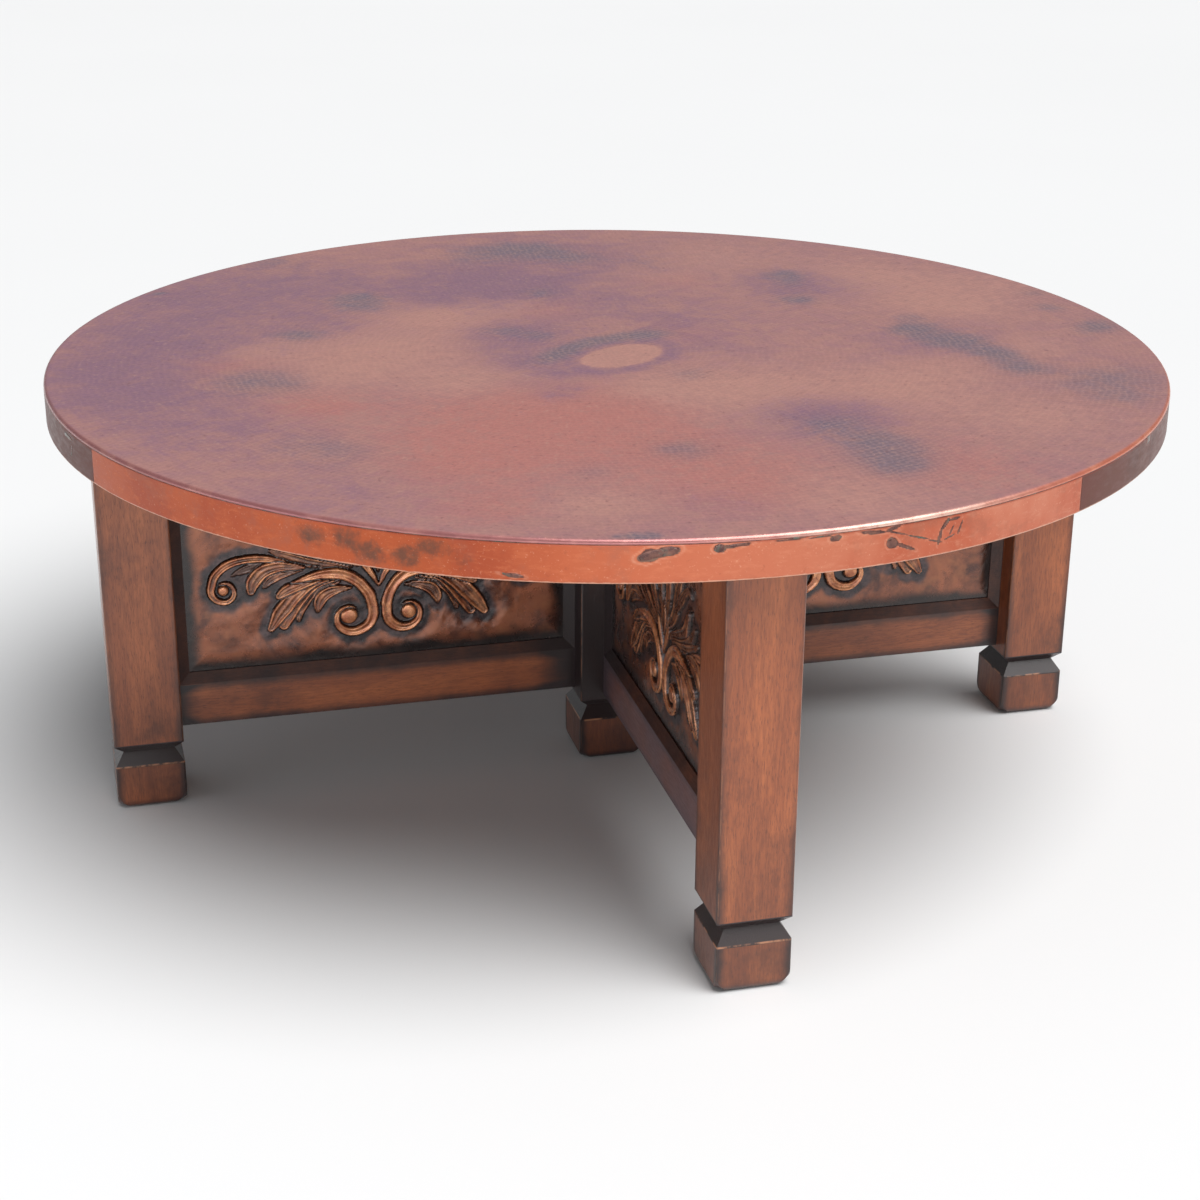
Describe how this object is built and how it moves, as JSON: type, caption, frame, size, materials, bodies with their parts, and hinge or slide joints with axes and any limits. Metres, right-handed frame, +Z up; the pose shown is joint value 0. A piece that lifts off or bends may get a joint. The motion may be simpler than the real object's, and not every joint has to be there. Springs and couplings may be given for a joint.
{
  "type": "coffee table",
  "caption": "Round coffee table with a hammered copper-clad top on a cross-shaped wooden base whose wings hold embossed copper panels.",
  "frame": {"origin": "on the floor, under the centre of the round top and of the centre post", "axes": "+Z up; +X and +Y along two of the four wings, with -Y towards the leg that stands nearest in the usual view"},
  "size_m": [1.2196, 1.2198, 0.483],
  "materials": {
    "plywood": "plywood with a thin dark brown stain",
    "plain_wood": "hardwood with a thin brown stain",
    "stained_wood": "walnut stain, darker glaze in grooves and along edges, satin lacquer",
    "patinated_copper": "hammered copper with a mottled red and violet patina, satin lacquer",
    "edge_copper": "orange copper with heat marks, satin lacquer",
    "embossed_copper": "embossed copper, dark antique patina rubbed back on the raised parts",
    "braze": "dark braze",
    "steel": "bright zinc"
  },
  "bodies": {
    "root": {"top_core_upper": "plywood", "top_core_lower": "plywood", "copper_top_sheet": "patinated_copper", "edge_band_right": "edge_copper", "edge_band_back": "edge_copper", "edge_band_left": "edge_copper", "edge_band_front": "edge_copper", "braze_seam": "braze", "band_nails": "steel", "centre_post": "stained_wood", "leg_right": "stained_wood", "lower_rail_right": "stained_wood", "upper_rail_right": "stained_wood", "backing_board_right": "plywood", "copper_panel_right_a": "embossed_copper", "panel_bead_right_a": "stained_wood", "top_cleat_right_a": "plain_wood", "copper_panel_right_b": "embossed_copper", "panel_bead_right_b": "stained_wood", "top_cleat_right_b": "plain_wood", "leg_back": "stained_wood", "lower_rail_back": "stained_wood", "upper_rail_back": "stained_wood", "backing_board_back": "plywood", "copper_panel_back_a": "embossed_copper", "panel_bead_back_a": "stained_wood", "top_cleat_back_a": "plain_wood", "copper_panel_back_b": "embossed_copper", "panel_bead_back_b": "stained_wood", "top_cleat_back_b": "plain_wood", "leg_left": "stained_wood", "lower_rail_left": "stained_wood", "upper_rail_left": "stained_wood", "backing_board_left": "plywood", "copper_panel_left_a": "embossed_copper", "panel_bead_left_a": "stained_wood", "top_cleat_left_a": "plain_wood", "copper_panel_left_b": "embossed_copper", "panel_bead_left_b": "stained_wood", "top_cleat_left_b": "plain_wood", "leg_front": "stained_wood", "lower_rail_front": "stained_wood", "upper_rail_front": "stained_wood", "backing_board_front": "plywood", "copper_panel_front_a": "embossed_copper", "panel_bead_front_a": "stained_wood", "top_cleat_front_a": "plain_wood", "copper_panel_front_b": "embossed_copper", "panel_bead_front_b": "stained_wood", "top_cleat_front_b": "plain_wood", "cleat_top_screws": "steel", "cleat_side_screws": "steel", "panel_tacks": "embossed_copper"}
  },
  "joints": []
}
